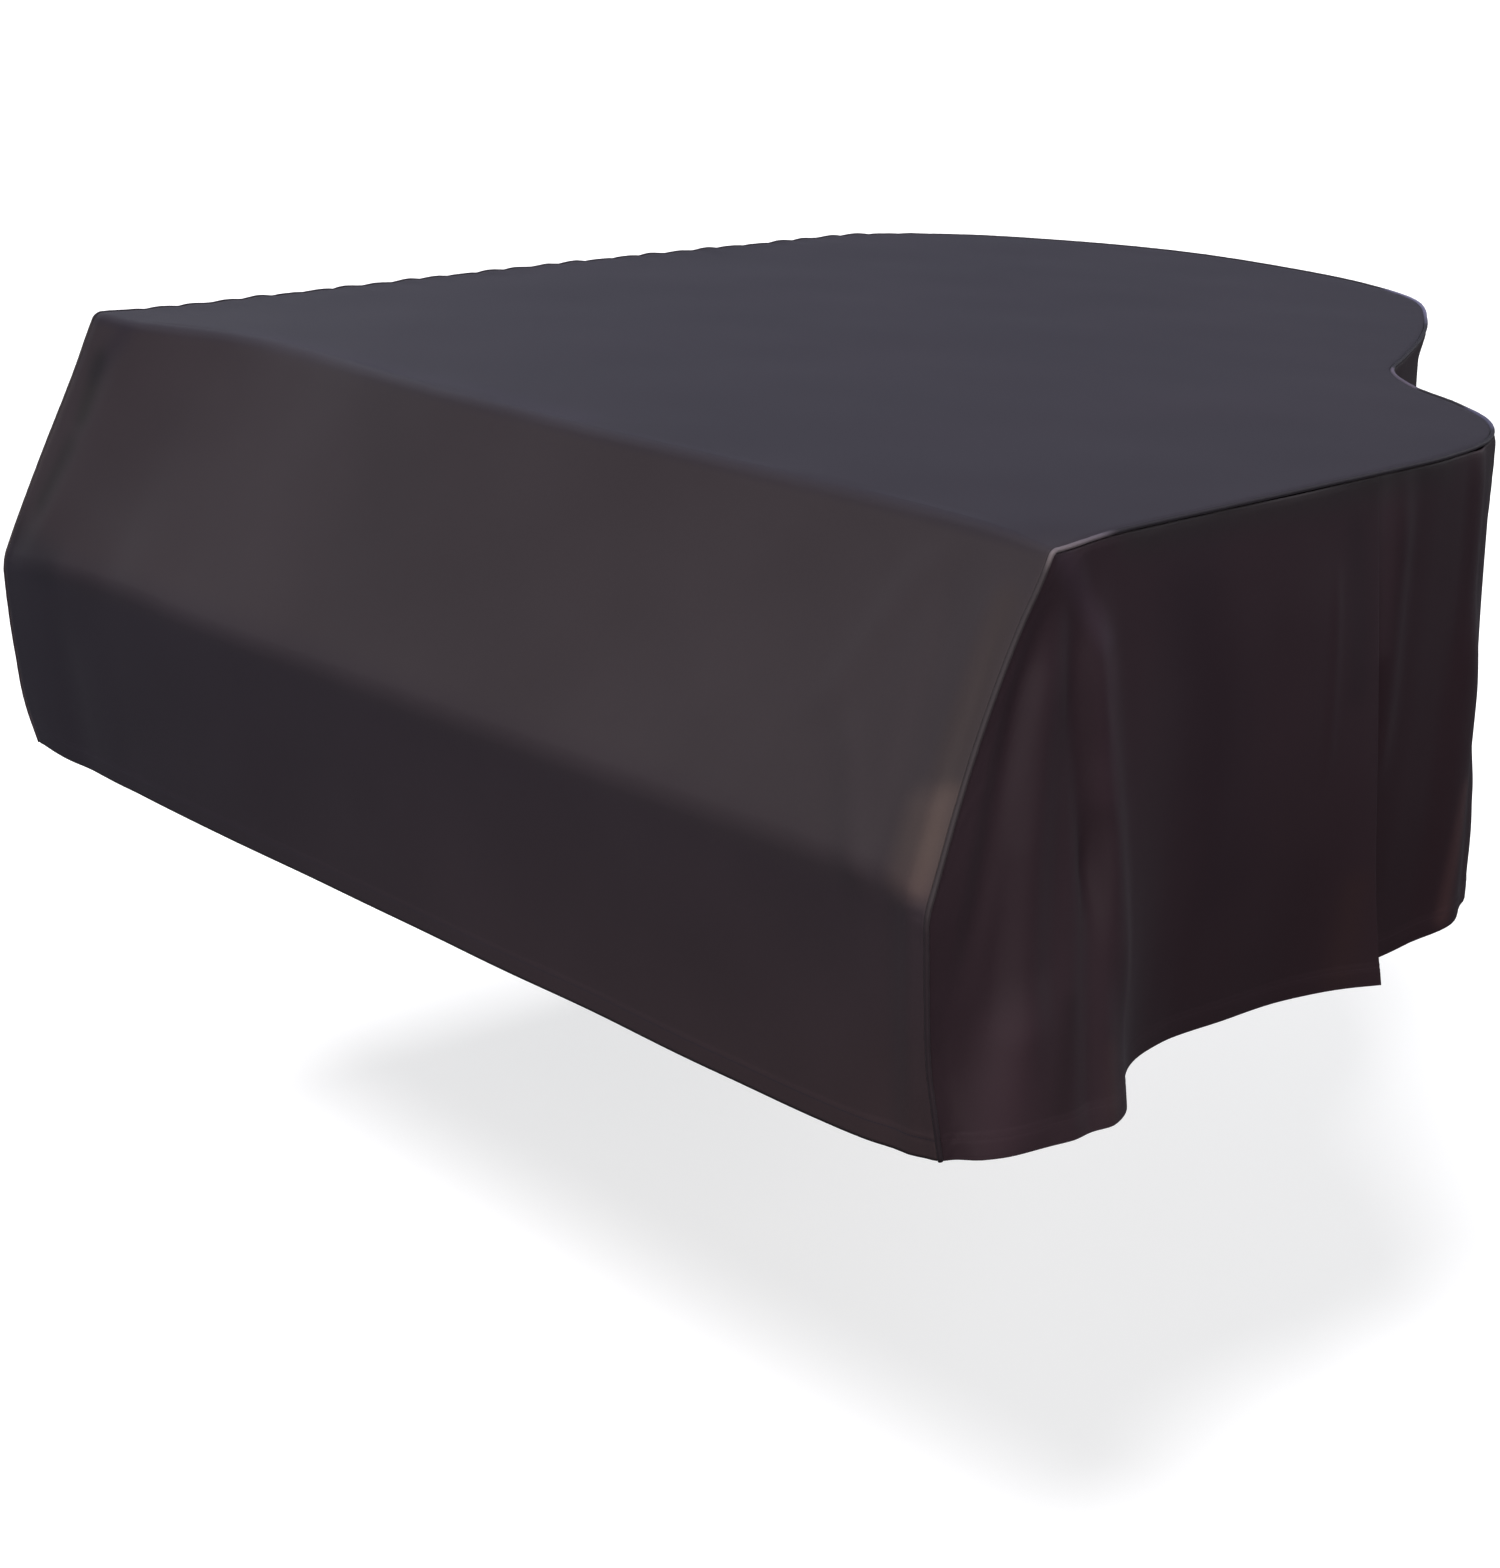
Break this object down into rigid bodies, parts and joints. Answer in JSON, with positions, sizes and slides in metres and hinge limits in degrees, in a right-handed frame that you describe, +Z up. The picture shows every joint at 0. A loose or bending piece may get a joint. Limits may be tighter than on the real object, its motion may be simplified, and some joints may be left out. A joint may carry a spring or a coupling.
{
  "type": "grand piano cover",
  "caption": "Fitted cloth cover for a baby grand piano, hollow and open below, with a flat top, sloped front, corded seams and a hanging skirt.",
  "frame": {"origin": "on the underside of the cover's top, over the keyboard's middle line and 0.76 m behind its front face", "axes": "+X to the treble side along the keyboard, +Y from the keyboard to the tail, +Z up"},
  "size_m": [1.6424, 1.53, 0.512],
  "materials": {
    "top_front_panel": "smooth charcoal cloth with a soft satin sheen",
    "treble_side_panel": "smooth charcoal cloth with a soft satin sheen",
    "bentside_tail_panel": "smooth charcoal cloth with a soft satin sheen",
    "spine_side_panel": "smooth charcoal cloth with a soft satin sheen",
    "seam_piping": "cloth-covered cord in the same charcoal, slightly shinier"
  },
  "bodies": {
    "root": {"top_front_panel": "top_front_panel", "treble_side_panel": "treble_side_panel", "bentside_tail_panel": "bentside_tail_panel", "spine_side_panel": "spine_side_panel", "seam_piping": "seam_piping"}
  },
  "joints": []
}
